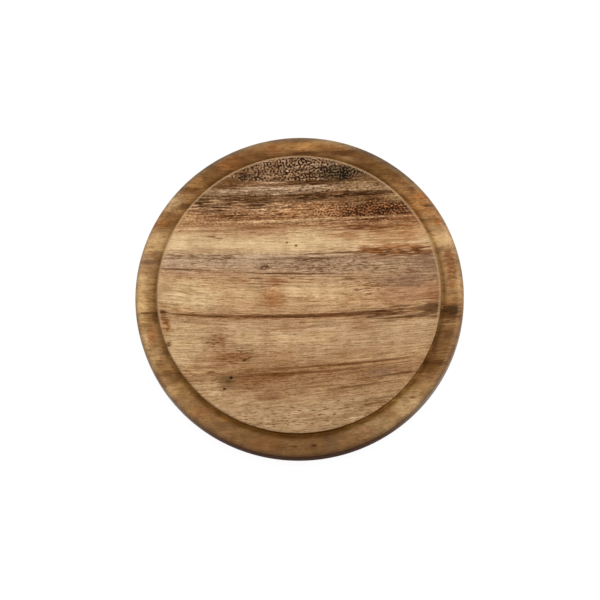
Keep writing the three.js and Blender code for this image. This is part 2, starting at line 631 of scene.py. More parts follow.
def banded(lie, push, bands):
    """Soft bands across the stave: their colour, and how strongly the grain shows on them.

    A ramp has a colour and an alpha at every stop, and the alpha carries the grain's strength.
    """
    low, high = bands[0][0], bands[-1][0]
    across = line_of(push, BAND_PUSH, place("SeparateXYZ", [lie]).outputs[1])
    at = place("MapRange", {"Value": across, "From Min": low, "From Max": high})
    ramp = place("ValToRGB", [at.outputs["Result"]])
    stops = ramp.color_ramp.elements
    while len(stops) < len(bands):
        stops.new(MIDDLE)
    for stop, (place_mm, colour, grain) in zip(stops, bands):
        stop.position = (place_mm - low) / (high - low)
        stop.color = (*tone(colour)[:3], grain)
    return ramp.outputs["Color"], ramp.outputs["Alpha"]


def rim(bearing, radius, long, wide, colour, strength=0.8, soft=0.45, ragged=0.8):
    """One patch on the rim, at a bearing in degrees and a distance from the lathe's axis."""
    turn = math.radians(bearing)
    x, y = radius * math.cos(turn), radius * math.sin(turn)
    return patch(x, y, long, wide, colour, strength, soft, ragged, RIM_DEEP, RISE * MM)
bands = [
    (-126, 0x7A5632), (-110, 0x825D38), (-88, 0x9C754A), (-14, 0x9C7345), (10, 0xB0885A),
    (25, 0x9E774E), (43, 0xC6A071), (58, 0x9E7448), (76, 0x986E42), (102, 0x7A5531),
    (112, 0x825A36), (119, 0x9E7244), (126, 0x94683E),
]
figure = [
    # broad changes of tone
    rim(342, 115, 13, 18, 0x704B25, 0.9, soft=0.6),
    rim(330, 115, 12, 8, 0x724D26),
    rim(300, 117, 30, 12, 0xA4835A, 0.85, soft=0.7),
    rim(315, 119, 15, 12, 0xC2A072),
    rim(282, 116, 8, 11, 0x66492F),
    rim(257, 117, 18, 7, 0x84562E, 0.75),
    rim(240, 115, 10, 7, 0x76522D, 0.75),
    rim(1, 123, 4, 18, 0xBE9462, 0.7),
    rim(11, 117.5, 5, 14, 0x9E6738),
    rim(22, 115.5, 10, 7, 0xCCA676),
    rim(36, 117, 14, 13, 0xAA7544),
    rim(58, 115, 20, 12, 0x6C4B26, 0.85, soft=0.7),
    rim(67, 120, 17, 6, 0x644221, 0.85),
    rim(88, 117.5, 15, 4.5, 0xB4844E, 0.85),
    rim(90, 123, 26, 2.6, 0x805630, 0.75),
    rim(100, 118, 8, 5, 0x986439, 0.7),
    rim(117, 118, 14, 8, 0x925E33),
    rim(132, 121, 11, 8, 0xAE7E4C),
    rim(143, 121.5, 13, 11, 0xD3AE7F, soft=0.7),
    rim(160, 119, 8, 9, 0xC69E6C, 0.65),
    rim(164, 112, 6, 7, 0x805C35, 0.85),
    rim(178, 121, 8, 34, 0xDAB47E, 0.85, soft=0.7),
    rim(196, 122, 6, 14, 0xCAA574, 0.75),
    rim(204, 122, 7, 14, 0xC29D6C, 0.7),
    rim(214, 113.5, 7, 7, 0x72502C),
    rim(217, 123, 6, 8, 0xCCA776, 0.7),
    rim(220, 116, 10, 8, 0xA88050, 0.6),
    rim(230, 118, 14, 7, 0x966438, 0.65),
    rim(338, 110.8, 4, 14, 0x583714, 0.6, soft=0.6),
    rim(240, 109.8, 10, 3.5, 0xB2804C),
    # streaks where the disc's lines run out, and spots
    rim(353, 115, 11, 8, 0x563414, 0.95, soft=0.35),
    rim(353.5, 116.5, 7, 4.5, 0x301A05, 0.95),
    rim(331, 111.5, 8, 8, 0x5A3814),
    rim(345, 118, 4, 2.4, 0x543819, 0.9),
    broken(rim(345, 116, 10, 12, 0x5C3C1C), 6, 1.4, 0.5),
    rim(333, 117, 12, 3.4, 0x563210, 0.92),
    rim(317, 117.5, 4.5, 2, 0x805230, 0.85),
    rim(306, 117, 4, 2, 0x966840, 0.7),
    rim(296, 116, 7, 2.2, 0xB07E56, 0.7),
    rim(275.5, 117, 2.8, 1.1, 0x361E0C, 0.95, ragged=0.3),
    rim(268, 117, 5, 0.9, 0x4E3218, 0.9, ragged=0.4),
    broken(rim(10, 118, 5, 16, 0x704420, 0.85), 5, 1.6, 0.47),
    rim(3.5, 116.5, 3, 4, 0x925E2F),
    rim(15.5, 117.5, 3.5, 4.5, 0x844E24, 0.88),
    rim(28.5, 120, 4, 4, 0x965A2B, 0.88),
    rim(39.5, 121.5, 7, 4, 0xAC703C),
    rim(35, 121, 8, 1.8, 0x643F1D, 0.88),
    rim(32, 112.5, 5, 4, 0xB28C64, 0.7),
    rim(44, 119, 4.5, 2.2, 0x744822, 0.85),
    rim(47.5, 118, 4, 2, 0x784C26),
    rim(74, 116.5, 14, 2.4, 0x543218, 0.88),
    rim(71, 112.5, 9, 2.6, 0x92704C, 0.75),
    rim(87, 112, 13, 1.5, 0x482D14),
    rim(97, 121.5, 10, 2.6, 0x805630, 0.75),
    rim(105, 114.5, 7, 2.6, 0x5C3F1D, 0.85),
    rim(126, 113, 10, 4.5, 0x6E4A24, 0.7),
    rim(134, 116.5, 11, 2.2, 0x6A4621),
    rim(138, 118, 9, 2, 0xAA8256, 0.7),
    rim(141, 112, 8, 3.2, 0x60401B),
    rim(151, 116, 9, 4, 0x7A522B),
    rim(152, 121, 7, 3, 0xA66C3C, 0.7),
    rim(166.5, 116.5, 9, 3, 0x826042, 0.85),
    rim(186.5, 116, 8, 1.3, 0x64421F, 0.9, ragged=0.4),
    rim(188.5, 110.5, 3, 5, 0x603F19, 0.75),
    rim(195, 116, 5, 9, 0x9E683A),
    rim(211, 116.5, 9, 4, 0x704C28, 0.85),
    # flecks all over
    broken(rim(0, 0, 200, 200, 0x704624, 0.45), 10, 3, 0.56),
    broken(rim(0, 0, 200, 200, 0x5C3C1E, 0.55), 3.5, 1.1, 0.6),
]
given = named_group("Deeper wood", Place=ORIGIN, Push=0.0)
spot, push = given["Place"], given["Push"]
colour, _ = banded(spot, push, [(*band, 1.0) for band in bands])
deep_group = give(Colour=figured(spot, push, colour, figure, 0.0))

# %% [markdown]
# ## Zones of the turned shape, with painted light and shade
#
# The flat at the foot of the step gets painted shade, more of it behind and to the right. In
# front, the foot gets a little painted warm shade, and the wall of the step above it is painted
# dark as shade. The disc's eased edge gets a painted pale highlight behind, and its brow a painted
# highlight along the front right. The outer round gets a painted cool reflection at the back, its
# upright wall is painted darker as shade and left rougher, and end grain, where the fibres meet
# the surface head on, drinks the most oil and is darker. This group gives one mask for each, from
# the distance to the lathe's axis, the height and the surface direction.

# %% Group: turned zones
# Each pair says where a zone starts and where it is full.
ABOVE_BASE = (0.0005, 0.0025)
BELOW_EDGE = (THICK - DISC_EASE, THICK - DISC_EASE - 0.0008)
STEP_RADIUS = (DISC - 0.0010, DISC - 0.0001)
# where the cove at the step's foot gets painted shade
DIP_RADIUS = (DISC + 0.0055, DISC + 0.0010)
FLAT_RADIUS = (DISC + 0.0002, DISC + 0.0022)
# where the disc's eased edge gets a painted pale highlight, behind only
EDGE_HIGHLIGHT_RADIUS = (DISC - 1.4 * DISC_EASE, DISC - 0.8 * DISC_EASE)
EDGE_HIGHLIGHT_HEIGHT = (THICK - DISC_EASE, THICK - 0.6 * DISC_EASE)
EDGE_HIGHLIGHT_BEHIND = (-0.05, -0.01)
# where the brow of the disc's edge gets a painted highlight, along the front right
BROW_RADIUS = (DISC - 0.0009, DISC - 0.0002)
BROW_HEIGHT = (THICK - 0.0030, THICK - 0.0022)
BROW_TOWARDS = (0.5, -0.87)
BROW_REACH = (0.048, 0.097)
ROUND_RADIUS = (OUTER - RIM_ROUND - 0.0003, OUTER - RIM_ROUND + 0.0015)
# where the outer round gets a painted cool reflection, at the back
BACK_ROUND = (0.06, 0.10)
# the front, where the step wall gets painted shade and the oil film is thinner
FRONT = (-0.075, -0.112)
# where the foot in front gets a little painted warm shade
FRONT_FOOT = (-0.03, -0.10)
UPRIGHT = (0.60, 0.10)
HEAD_ON = (0.25, 0.90)
# how much painted shade the foot gets: everywhere, more to the right, more behind
FOOT_SHADE_EVERYWHERE, FOOT_SHADE_RIGHT, FOOT_SHADE_BEHIND = 0.73, 0.13, 0.18
# end grain gets less of the outer wall's painted shade and keeps its oil film
ENDS_SPARED = -0.75

named_group("Turned zones")
coordinates = place("TexCoord").outputs
x, y, z = place("SeparateXYZ", [coordinates["Object"]]).outputs
facing = place("SeparateXYZ", [coordinates["Normal"]]).outputs
radius = vectors("LENGTH", joined(x, y, 0.0))
above = ease(z, *ABOVE_BASE)
below_edge = ease(z, *BELOW_EDGE)
upright = ease(sums("ABSOLUTE", facing[2]), *UPRIGHT)
ends = ease(sums("ABSOLUTE", facing[0]), *HEAD_ON)
front = ease(y, *FRONT)
step = times(ease(radius, *STEP_RADIUS), above)
lower = times(step, below_edge)
foot = times(ease(radius, *DIP_RADIUS), below_edge, step)
# painted shade at the step's foot, stronger to the right and behind
foot_shade_right = line_of(sums("DIVIDE", x, radius), FOOT_SHADE_RIGHT, FOOT_SHADE_EVERYWHERE)
foot_shade = line_of(sums("DIVIDE", y, radius), FOOT_SHADE_BEHIND, foot_shade_right)
# band of the eased edge for its painted highlight
edge_highlight_band = times(ease(radius, *EDGE_HIGHLIGHT_RADIUS), above)
# brow of the disc's edge, for a painted highlight
brow = times(ease(radius, *BROW_RADIUS), ease(z, *BROW_HEIGHT))
front_right = line_of(y, BROW_TOWARDS[1], times(x, BROW_TOWARDS[0]))
outermost = ease(radius, *ROUND_RADIUS)
# Valley, Front valley, Step wall and Outer wall carry painted shade, Eased edge and Front edge a
# painted highlight, Back round a painted reflection
zone_group = give(
    Rim=lower,
    Valley=times(foot, ease(radius, *FLAT_RADIUS), foot_shade),
    Step_wall=times(upright, lower, front),
    Eased_edge=times(edge_highlight_band, ease(z, *EDGE_HIGHLIGHT_HEIGHT), ease(y, *EDGE_HIGHLIGHT_BEHIND)),
    Outer_round=outermost,
    Outer_wall=times(upright, outermost, line_of(ends, ENDS_SPARED, 1.0)),
    End_grain=ends,
    Front_valley=times(foot, ease(y, *FRONT_FOOT)),
    Front=front,
    Back_round=times(outermost, ease(y, *BACK_ROUND)),
    Front_edge=times(brow, ease(front_right, *BROW_REACH)),
)

# %% [markdown]
# ## Putting one stave's wood together
#
# Each stave is its own stick, so each gets its own material from the same groups: soft bands of
# colour across its width, then its patches in order, growth lines, fibres and pores, a painted
# highlight on the eased edge, and last the tints of the lathe's zones, most of them painted shade,
# highlights and a reflection. The bare wood hardly shines. A thin film of oil lies over it as a
# coat, thickest on the outer round and on the eased edge, and puts a faint white veil over
# everything, so the colour beneath is taken down by as much. Pores and fibres also roughen the
# surface a little.

# %% Material builder
# Painted shade for Valley, Front valley, Step wall and Outer wall; painted highlight for Front
# edge; painted cool reflection for Back round; End grain is the wood's own darker tone.
ZONE_TINTS = {
    "Valley": (0.50, 0.43, 0.20, 1.0),
    "Front valley": (0.97, 0.85, 0.52, 1.0),
    "Step wall": (0.49, 0.27, 0.02, 1.0),
    "Back round": (0.78, 0.92, 1.05, 1.0),
    "Front edge": (1.85, 1.95, 2.10, 1.0),
    "Outer wall": (0.64, 0.60, 0.50, 1.0),
    "End grain": (0.88, 0.84, 0.80, 1.0),
}
WARM_TINT = (0.90, 0.77, 0.61, 1.0)
PORE_TINT = (0.34, 0.26, 0.20, 1.0)
LATE_TINT = (0.42, 0.34, 0.28, 1.0)
EARLY_TINT = (1.5, 1.5, 1.5, 1.0)
LIGHT_FIBRE, DARK_FIBRE = (1.45, 1.54, 1.66, 1.0), (0.60, 0.52, 0.45, 1.0)
LIGHT_RIPPLE, DARK_RIPPLE = (1.10, 1.11, 1.12, 1.0), (0.90, 0.87, 0.84, 1.0)
LIGHT_CLOUD, DARK_CLOUD = (1.24, 1.28, 1.28, 1.0), (0.80, 0.76, 0.71, 1.0)
VEIL = (0.003, 0.004, 0.005, 1.0)
DEEP_FROM, DEEP_TO, DEEP_SHARE = 1.0, 7.0, 0.9
LINES_LOST_ON_RIM = -0.7
GRAIN_LOST_ON_RIM = -0.6
EARLY_SEED = 4.0
DASH_IN_WARM, DASH_ELSEWHERE = 0.6, 0.7
BROAD_SHARE, STREAK_SHARE, MEAN_DENSITY = 0.30, 0.75, 0.45
EDGE_HIGHLIGHT_SHARE = 0.54
BARE_SHEEN = 0.012
OIL_FILM, POLISH, FILM_ROUGHNESS = 0.06, 0.60, 0.45
LESS_IN_FRONT, EDGE_POLISH = -0.6, 0.55
BARE_ROUGHNESS, POLISHED_OFF, DASH_ROUGHNESS, PORE_ROUGHNESS = 0.54, -0.12, 0.12, 0.2
PORE_HEIGHT, DASH_HEIGHT = -0.7, 0.3
BUMP_STRENGTH, BUMP_DEPTH = 0.35, 0.00012


def tinted(colour, tint, share=1.0):
    """A colour multiplied by a tint, wholly or by a share."""
    return lay(share, colour, tint, "MULTIPLY")


def fibre_tint(fibre, strength, specks):
    """The tint of the fibres' density: a sum of four noises about its mean, times a strength."""
    in_warm = line_of(fibre["Warm"], DASH_IN_WARM, DASH_ELSEWHERE)
    density = line_of(fibre["Broad"], BROAD_SHARE, times(fibre["Dash"], in_warm))
    density = line_of(fibre["Streak"], STREAK_SHARE, density)
    density = line_of(fibre["Speck"], specks, density)
    density = sums("SUBTRACT", density, MEAN_DENSITY + specks / 2)
    density = line_of(density, strength, MIDDLE, clamp=True)
    return lay(density, LIGHT_FIBRE, DARK_FIBRE)


def oiled(fibre, zone, pore):
    """The surface below the colour: oil film, roughness and fine relief, as shader inputs."""
    less = line_of(zone["Front"], LESS_IN_FRONT, 1.0)
    rounded = times(zone["Outer round"], less)
    polished = sums("MAXIMUM", rounded, times(zone["Eased edge"], EDGE_POLISH))
    film = line_of(polished, POLISH, OIL_FILM)
    film = times(film, sums("SUBTRACT", 1.0, zone["Outer wall"]))
    rough = line_of(polished, POLISHED_OFF, BARE_ROUGHNESS)
    rough = line_of(fibre["Dash"], DASH_ROUGHNESS, rough)
    height = line_of(pore, PORE_HEIGHT, times(fibre["Dash"], DASH_HEIGHT))
    relief = {"Strength": BUMP_STRENGTH, "Distance": BUMP_DEPTH, "Height": height}
    return {
        "Coat Weight": film,
        "Coat Roughness": FILM_ROUGHNESS,
        "Specular IOR Level": BARE_SHEEN,
        "Roughness": line_of(pore, PORE_ROUGHNESS, rough, clamp=True),
        "Normal": place("Bump", relief).outputs["Normal"],
    }


def stave_wood(name, bands, figure, grain, lines, pores, seed, specks, warm):
    """The finished material of one stave."""
    global tree
    finish = bpy.data.materials.new(name)
    finish.use_nodes = True
    tree = finish.node_tree
    lie_of = use(lie_group, Seed=seed, **grain)
    lie = lie_of["Lie"]
    fibre = use(fibre_group, Lie=lie, Seed=seed)
    zone = use(zone_group)
    push = sums("SUBTRACT", fibre["Tongue"], MIDDLE)
    colour, strength = banded(lie, push, bands)
    colour = figured(lie, push, colour, figure, seed)
    depth = place("SeparateXYZ", [lie]).outputs[2]
    deep = use(deep_group, Place=lie_of["Place"], Push=push)["Colour"]
    deep = tinted(deep, lay(fibre["Cloud"], LIGHT_CLOUD, DARK_CLOUD))
    share = times(ease(depth, DEEP_FROM, DEEP_TO), DEEP_SHARE)
    colour = lay(share, colour, deep)
    colour = tinted(colour, lay(fibre["Mottle"], LIGHT_RIPPLE, DARK_RIPPLE))
    colour = tinted(colour, WARM_TINT, times(fibre["Warm"], warm))
    for tint, kind, offset in ((LATE_TINT, "dark", 0.0), (EARLY_TINT, "pale", EARLY_SEED)):
        line = use(line_group, Lie=lie, Seed=seed + offset,
                   Spacing=lines["spacing"], Thin=lines["thin"])["Line"]
        shown = line_of(zone["Rim"], LINES_LOST_ON_RIM * lines[kind], lines[kind])
        colour = tinted(colour, tint, times(line, shown))
    strength = times(strength, line_of(zone["Rim"], GRAIN_LOST_ON_RIM, 1.0))
    colour = tinted(colour, fibre_tint(fibre, strength, specks))
    pore = use(pore_group, Lie=lie, Amount=pores["amount"], Seed=seed)["Pore"]
    colour = tinted(colour, PORE_TINT, times(pore, pores["strength"]))
    # painted highlight: the eased edge behind is paled towards a light tone
    colour = lay(times(zone["Eased edge"], EDGE_HIGHLIGHT_SHARE), colour, tone(EDGE_HIGHLIGHT_TONE))
    # zone tints: painted shade, painted highlights and a painted reflection, and the darker end
    # grain
    for label, tint in ZONE_TINTS.items():
        colour = tinted(colour, tint, zone[label])
    bare = place("Mix", {0: 1.0, 6: colour, 7: VEIL}, data_type="RGBA",
                 blend_type="SUBTRACT", clamp_result=True).outputs[2]
    shader = tree.nodes["Principled BSDF"]
    fill(shader, {"Base Color": bare, **oiled(fibre, zone, pore)})
    return finish


def dress(node, slot, *wood, **more):
    """Gives a stave its wood and names the record's slot it stands for."""
    finish = stave_wood(slot, *wood, **more)
    STAVES[node].data.materials.append(finish)
    print(node, "dressed,", len(finish.node_tree.nodes), "nodes")


# %% [markdown]
# ## Front edge stave
#
# The stave nearest the viewer is plain tan with short dark dashes. Its grain climbs to the right,
# and it darkens towards the rim.

# %% Wood of the front edge stave
bands = [
    (-128, 0x96704A, 0.5), (-112, 0xAC8862, 0.5), (-104, 0xB4926C, 0.5), (-97, 0xBC9A73, 0.5),
    (-90, 0xBE9C75, 0.5), (-84, 0xB8956D, 0.5), (-78, 0xB6926B, 0.5),
]
figure = [
    patch(-60, -80, 22, 10, 0xCAA87C, ragged=0.7),
    patch(-22, -79.5, 18, 3.6, 0x946841),
    patch(3, -94.8, 12, 3, 0x966E49),
    patch(30, -82.5, 17, 4, 0x966E49, 0.65),
    patch(57, -91.5, 28, 4, 0x8E6945),
    patch(45, -96.5, 16, 4, 0x96704C, 0.7),
    patch(-40, -94, 13, 4, 0xCCA87E),
    patch(-4, -83.5, 14, 3, 0x9E7650, 0.65),
    streak(42, 84, -88, 1.2, 0x744F2B),
    marks(0, -96, 116, 17, 0x704D2A, 5, 1, 0.56, 0.8),
    patch(70, -97, 26, 9, 0xC09A6C, 0.5),
]
dress("front_edge_stave", "front_edge_wood", bands, figure,
      grain=dict(Middle=-100, Rise=8.5, Fan=-0.03, Bow=3, Tilt=0.25, Cup=0.01, Waver=0.4),
      lines=dict(spacing=4, thin=0.03, dark=0.2, pale=0.2),
      pores=dict(amount=0.36, strength=0.5), seed=2.3, specks=0.4, warm=0.4)

# %% [markdown]
# ## Front stave
#
# The widest stave is tan with fine grain behind and a brown heart in front. Two long sloping
# streaks and a few pin knots with grey haloes mark it.

# %% Wood of the front stave
bands = [
    (-88, 0xB28E67, 0.7), (-76, 0xAF8961, 0.7), (-64, 0xA27952, 0.7), (-59, 0xA67D55, 0.7),
    (-48, 0xB8936B, 0.65), (-38, 0xC19D75, 0.6), (-29, 0xC5A27A, 0.6), (-21, 0xB18B65, 0.7),
]
figure = [
    patch(-88, -42, 34, 24, 0xD0AE81, 0.75, soft=0.8, ragged=0.6),
    patch(-75, -29, 17, 5, 0xD2AF83, 0.75),
    patch(-68, -72, 24, 13, 0xCCAA7F, soft=0.8, ragged=0.7),
    patch(-101.5, -28, 4.5, 9, 0xA67242, soft=0.7),
    marks(-101, -27, 5, 9, 0x7A491F, 5, 3, 0.48, 0.8),
    patch(-98.5, -40, 3, 3, 0x744B23, 0.9),
    patch(-61, -36.5, 14, 9, 0x9C6E45, soft=0.8),
    marks(-61, -37, 13, 9, 0x6C4321, 5, 1, 0.53, 0.85),
    patch(-56, -48.5, 30, 8, 0xA0724B, 0.85, soft=0.7),
    patch(-44, -48, 15, 6.5, 0x94653D, 0.7, soft=0.8),
    marks(-45, -47, 19, 8, 0x623D1C, 5, 1, 0.53, 0.85),
    patch(-14, -50, 20, 6, 0xAC8057, 0.5),
    patch(-38, -34.5, 12, 5.5, HONEY, 0.7),
    patch(-8, -35.4, 12, 5.5, HONEY, 0.7),
    patch(15, -35.6, 16, 7, HONEY),
    patch(-4, -27.5, 20, 4.5, 0xAA7E58, 0.55),
    patch(50, -30, 22, 6, 0xAC825C, 0.7),
    patch(82, -55, 20, 11, 0xC8A175, 0.75, soft=0.8),
    patch(48, -49.3, 14, 3.5, 0xA47A54, 0.7),
    marks(0, -42, 110, 14, 0x885F3A, 6, 0.9, 0.6, 0.6),
    patch(-36, -64.5, 38, 9, 0x8E633D, 0.85, soft=0.7),
    marks(-40, -64, 44, 8, 0x6C4724, 6, 1, 0.55, 0.75),
    marks(40, -68, 50, 12, 0x745130, 7, 1, 0.57, 0.7),
    patch(64, -68, 20, 6, 0x926F54, 0.7),
    patch(30, -80, 17, 4, 0x946B46, 0.6),
    streak(15, 110, -56, 1.2, 0xD4B082, ragged=0.5),
    streak(-60, 118, -58.4, 1.5, 0x6A421F, 0.88),
    streak(-54, 62, -62.4, 1.7, 0x684120, 0.88),
    patch(-16, -63.2, 20, 2.8, 0x7A4D27, 0.7),
    streak(48, 108, -71.2, 1.4, 0x664120, 0.9),
    streak(12, 76, -77, 1.5, 0x6E4926),
    patch(-20, -76, 14, 6, 0x966C49, 0.7),
    patch(-54, -64.5, 11, 6.5, 0x6C5031, 0.85, soft=0.9, ragged=0.7, deep=10),
    patch(-51, -62.8, 1.8, 1.4, 0x1E1106, 0.98, ragged=0.2, deep=8),
    patch(-53.5, -65.2, 3, 1.6, 0x543C1E, 0.6, deep=8),
    patch(-56, -70.5, 1.6, 1.2, 0x38200D, 0.95, ragged=0.2, deep=8),
    patch(-41, -50.4, 2.4, 1.5, 0x4E2A10, 0.92, ragged=0.5, deep=8),
    streak(-70, -62, -58.3, 1.2, 0x643D1C, deep=8),
    patch(-79, -59, 8, 5, 0xC6A075, 0.75),
    patch(66, -25, 14, 2.4, 0x8C6746, 0.7),
    patch(3, -71, 14, 3, 0xB68E66, 0.6),
]
dress("front_stave", "front_wood", bands, figure,
      grain=dict(Middle=-50, Rise=5.4, Fan=-0.141, Bow=4.4, Tilt=-0.2, Cup=0.008, Waver=0.4),
      lines=dict(spacing=4.5, thin=0.03, dark=0.35, pale=0.2),
      pores=dict(amount=0.34, strength=0.4), seed=5.1, specks=0.45, warm=0.6)

# %% [markdown]
# ## Centre front stave
#
# Honey-coloured wood, paler to the left and rusty to the right. The strongest dark line of the
# whole board bows along its front edge and spreads into brown smudges at its right end.

# %% Wood of the centre front stave
bands = [
    (-25, 0xB08A63, 0.7), (-18, 0xB68F67, 0.7), (-13, 0xC29B71, 0.6), (-6, 0xC49D72, 0.6),
    (0, 0xCAA478, 0.55), (5, 0xCCA77C, 0.6), (9, 0xC8A279, 0.65), (13, 0xC29B73, 0.7),
]
figure = [
    patch(-84, -5, 34, 17, 0xD4B487, 0.85, soft=0.7, ragged=0.6),
    patch(-46, 9, 11, 5, 0xB0855D),
    patch(-98, 2, 9, 9, 0xBE976C, 0.7),
    patch(-40, 0, 16, 6, HONEY, 0.7),
    patch(2, 2, 18, 6, PALE),
    patch(26, -1, 24, 8, 0xD4B082, 0.7),
    patch(-19, -3, 12, 18, 0xAC784B, 0.75, soft=0.85),
    marks(-20, -3, 13, 16, 0x925E33, 5, 1.2, 0.5, 0.65),
    patch(-20, -6, 9, 6, 0x9C6539, 0.7, soft=0.8),
    patch(-17, 9, 12, 4.5, 0x9C6942),
    streak(-50, -8, 6.5, 1, 0x805633, 0.6),
    patch(86, -3, 50, 17, 0xAC7F5B, 0.85, soft=0.8, ragged=0.7),
    patch(104, -7, 14, 13, 0x9C6A44, 0.75),
    patch(84, 7, 44, 9, 0x8C6A4F, 0.92, soft=0.7),
    marks(52, 3, 20, 10, 0x7A4F2D, 5, 1.1, 0.52, 0.9),
    marks(80, 8, 40, 7, 0x704C32, 7, 1, 0.54, 0.8),
    marks(-5, 11, 95, 4, 0x704928, 14, 1, 0.53, 0.85),
    marks(20, -6, 90, 12, 0x885D38, 6, 0.9, 0.6, 0.6),
    streak(-135, 130, -18.6, 3.4, 0x906743, 0.75, ragged=0.7, deep=6),
    streak(-114, 112, -18.5, 1.8, 0x7A502E, 0.88, ragged=0.7, deep=6),
    streak(-62, 76, -18.4, 1.9, 0x724A2A, 0.9, soft=0.6, deep=6),
    marks(-8, -18.5, 66, 2, 0x5E3A1E, 16, 1.2, 0.48, 0.6, deep=6),
    patch(66, -18.6, 24, 5, 0x70492C, 0.88, ragged=1.2),
    marks(66, -18.6, 24, 5.5, 0x523118, 9, 1.2, 0.48, 0.9),
    patch(102, -18.5, 19, 9, 0x58381F, 0.9),
    streak(44, 112, -23.6, 1.4, 0x624021, 0.88),
    streak(-22, 12, -20.5, 0.6, 0xD6B28E, 0.8, ragged=0.6, deep=6),
    streak(-103, -64, -18.4, 0.9, 0x68421D, 0.92, ragged=0.5, deep=6),
    streak(-82, -42, -18.8, 1.5, 0x5C3819, 0.9, deep=6),
    patch(-103, -17.8, 4.5, 1.8, 0x5C3411, 0.9),
    patch(-102, -22.4, 4, 3, 0x845125),
    patch(-102.5, -13.8, 4, 1.6, 0x986B3C, 0.7),
]
dress("centre_front_stave", "centre_front_wood", bands, figure,
      grain=dict(Middle=-4, Rise=0.6, Fan=-0.06, Bow=4.6, Tilt=0.15, Cup=0.01, Waver=0.35),
      lines=dict(spacing=5, thin=0.025, dark=0.3, pale=0.2),
      pores=dict(amount=0.32, strength=0.35), seed=8.7, specks=0.45, warm=0.5)

# %% [markdown]
# ## Centre back stave
#
# A grey-violet heart band with fine dark marks lies beside the palest sapwood of the board. To
# the right, rusty streaks run through both.

# %% Wood of the centre back stave
bands = [
    (10, 0xC69E76, 0.65), (15.5, 0xC09B77, 0.65), (19, 0xC09F7E, 0.65), (26, 0xBE9E7F, 0.65),
    (29.5, 0xC2A27F, 0.6), (32.5, 0xD4B286, 0.45), (39, 0xD8B88A, 0.4), (44, 0xD2AE82, 0.5),
    (48, 0xC69F75, 0.55), (53, 0xB2875E, 0.8),
]
figure = [
    patch(-80, 40, 50, 8, 0xDABB8D, ragged=0.8),
    patch(4, 42, 20, 13, 0xE0C08F, 0.85, soft=0.8, ragged=0.7),
    patch(-45, 47, 40, 5, 0xBE966E, 0.65),
    patch(-80, 50, 22, 4, 0xCEA87D, 0.65),
    patch(-62, 33.5, 36, 2.4, 0xBC9872, 0.65),
    patch(75, 13.5, 34, 4, 0xA07A5A, 0.65),
    patch(82, 43, 46, 8, 0xB88A5F),
    patch(20, 22, 56, 11, 0xAC8A6D, soft=0.7),
    patch(94, 20, 32, 12, 0x947358, 0.85),
    patch(72, 20, 13, 6, 0xBC9B75),
    patch(-88, 30.5, 10, 5, 0xB28E6A, 0.7),
    marks(-90, 28.6, 18, 3.6, 0x825F40, 6, 1.3, 0.44, 0.8),
    marks(-56, 28.3, 20, 4, 0x7A5A3E, 7, 1.4, 0.42, 0.85),
    streak(-36, 34, 26.8, 2, 0x806041, 0.7),
    marks(-25, 20, 9, 4, 0x5C3C22, 4, 1.2, 0.4, 0.9),
    marks(9, 26.5, 13, 3, 0x604227, 6, 1.1, 0.42, 0.92),
    marks(10, 18.5, 18, 3.2, 0x6C4A2D, 6, 1, 0.47, 0.88),
    marks(22, 22, 66, 11, 0x6E4D31, 4, 0.9, 0.52, 0.8),
    marks(60, 21, 50, 11, 0xC4A07A, 7, 1.2, 0.56, 0.45),
    marks(74, 18, 28, 8, 0x724F31, 9, 1, 0.52, 0.75),
    patch(60, 26.3, 22, 3.6, 0x8E6A4D),
    patch(96, 26.5, 14, 4, 0x825F42, 0.75),
    marks(-70, 23, 42, 9, 0x765739, 6, 1, 0.56, 0.8),
    patch(74, 32, 38, 6, 0xAA7448, 0.9),
    patch(52, 32.2, 13, 2.6, 0xA06A3D),
    marks(72, 32, 38, 6.5, 0x986035, 9, 1.1, 0.48, 0.88, soft=0.4),
    marks(66, 30.4, 40, 4, 0x543014, 10, 1.2, 0.45, 0.92),
    marks(88, 30.6, 16, 3.4, 0x643718, 7, 1.1, 0.45, 0.9),
    streak(0, 64, 30.4, 1.1, 0x724B2A, 0.88, ragged=0.6),
    streak(-52, -8, 51.5, 2.4, 0x92643D),
    streak(-24, 44, 53.5, 2.4, 0x825531, 0.88),
    patch(62, 52, 48, 8.5, 0x9A6A43, 0.9),
    marks(62, 51.5, 50, 8, 0x704422, 13, 1, 0.48, 0.9, soft=0.4),
    marks(52, 51.5, 26, 6, 0x643E20, 8, 1.2, 0.46, 0.9),
    marks(82, 46.5, 34, 7, 0xB27847, 15, 1, 0.5, 0.7, soft=0.4),
    marks(80, 42, 34, 4, 0x946239, 12, 1, 0.52, 0.8),
    patch(38, 43.8, 17, 4.5, 0xAC7C53, 0.85),
    patch(66, 39, 28, 2.4, 0xAC7A4F, 0.65),
    patch(82, 45.5, 16, 2.8, 0xC89C6C, 0.65),
    patch(81, 32.4, 6, 2.4, 0xC2946A, 0.7),
    marks(-30, 48, 60, 4, 0x8E613C, 8, 0.9, 0.55, 0.7),
    streak(-114, -60, 16.9, 0.9, 0x725034, 0.9, soft=0.5, ragged=0.4, deep=6),
    streak(-56, 42, 15, 0.9, 0x664426, 0.92, soft=0.5),
    streak(-70, -62, 44.5, 1.2, UMBER, 0.95, deep=8),
    streak(-65, -56, 43, 1.1, UMBER, 0.92, deep=8),
    patch(-2, 37, 1.4, 1.2, DARK, 0.95, ragged=0.2, deep=6),
    patch(-9, 39.5, 1.4, 1, UMBER, 0.88, ragged=0.4, deep=6),
]
dress("centre_back_stave", "centre_back_wood", bands, figure,
      grain=dict(Middle=33, Rise=0.5, Fan=0.08, Bow=2.1, Tilt=-0.15, Cup=-0.008, Waver=0.35),
      lines=dict(spacing=4, thin=0.03, dark=0.25, pale=0.2),
      pores=dict(amount=0.28, strength=0.3), seed=11.9, specks=0.5, warm=0.3)

# %% [markdown]
# ## Back stave
#
# Brown heartwood with crowded dark growth lines. To the right it breaks into reddish curly
# figure, and a pale grey streak runs along its back edge.

